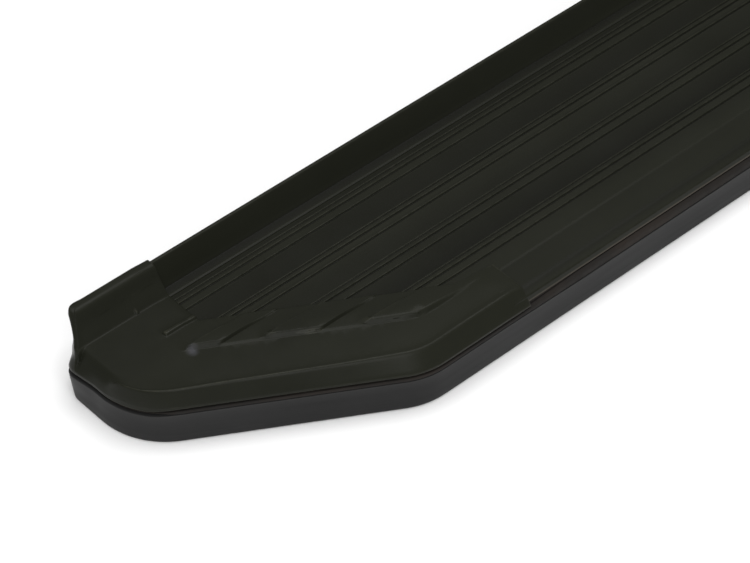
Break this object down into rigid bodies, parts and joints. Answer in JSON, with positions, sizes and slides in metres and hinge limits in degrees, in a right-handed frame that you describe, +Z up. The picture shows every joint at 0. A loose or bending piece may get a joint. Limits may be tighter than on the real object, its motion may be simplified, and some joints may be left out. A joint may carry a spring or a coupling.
{
  "type": "running board",
  "caption": "Fixed side step for a vehicle: a grooved hollow aluminium tread with an upright rear flange, moulded end caps, side trim and underside bolt channels.",
  "frame": {"origin": "under the middle of the board, on the level of its lowest edge", "axes": "+X along the board, +Y towards the vehicle, +Z up"},
  "size_m": [1.7, 0.165, 0.0565],
  "materials": {
    "deck": "satin black powder coat on an aluminium extrusion",
    "cap": "fine-grained black moulding",
    "trim": "smooth satin charcoal moulding",
    "seal": "dark rubber with a slight sheen",
    "base": "plain black moulding",
    "zinc": "bright zinc plate"
  },
  "bodies": {
    "board": {"deck_extrusion": "deck", "side_trim": "trim", "seal_bead": "seal", "end_cap_left": "cap", "end_cap_right": "cap", "end_base_left": "base", "end_base_right": "base", "trim_screw_1": "zinc", "trim_screw_2": "zinc", "trim_screw_3": "zinc", "trim_screw_4": "zinc", "trim_screw_5": "zinc", "base_screw_left_1": "zinc", "base_screw_left_2": "zinc", "base_screw_right_1": "zinc", "base_screw_right_2": "zinc", "cap_screw_left_1": "zinc", "cap_screw_left_2": "zinc", "cap_screw_right_1": "zinc", "cap_screw_right_2": "zinc"},
    "bolt_set_rear_1": {"t_bolt_rear_1": "zinc", "washer_rear_1": "zinc", "flange_nut_rear_1": "zinc"},
    "bolt_set_rear_2": {"t_bolt_rear_2": "zinc", "washer_rear_2": "zinc", "flange_nut_rear_2": "zinc"},
    "bolt_set_rear_3": {"t_bolt_rear_3": "zinc", "washer_rear_3": "zinc", "flange_nut_rear_3": "zinc"},
    "bolt_set_front_1": {"t_bolt_front_1": "zinc", "washer_front_1": "zinc", "flange_nut_front_1": "zinc"},
    "bolt_set_front_2": {"t_bolt_front_2": "zinc", "washer_front_2": "zinc", "flange_nut_front_2": "zinc"},
    "bolt_set_front_3": {"t_bolt_front_3": "zinc", "washer_front_3": "zinc", "flange_nut_front_3": "zinc"}
  },
  "joints": [
    {"name": "slide_rear_1", "type": "slide", "parent": "board", "child": "bolt_set_rear_1", "axis": [1, 0, 0], "range_m": [-0.11, 0.11]},
    {"name": "slide_rear_2", "type": "slide", "parent": "board", "child": "bolt_set_rear_2", "axis": [1, 0, 0], "range_m": [-0.11, 0.11]},
    {"name": "slide_rear_3", "type": "slide", "parent": "board", "child": "bolt_set_rear_3", "axis": [1, 0, 0], "range_m": [-0.11, 0.11]},
    {"name": "slide_front_1", "type": "slide", "parent": "board", "child": "bolt_set_front_1", "axis": [1, 0, 0], "range_m": [-0.11, 0.11]},
    {"name": "slide_front_2", "type": "slide", "parent": "board", "child": "bolt_set_front_2", "axis": [1, 0, 0], "range_m": [-0.11, 0.11]},
    {"name": "slide_front_3", "type": "slide", "parent": "board", "child": "bolt_set_front_3", "axis": [1, 0, 0], "range_m": [-0.11, 0.11]}
  ]
}
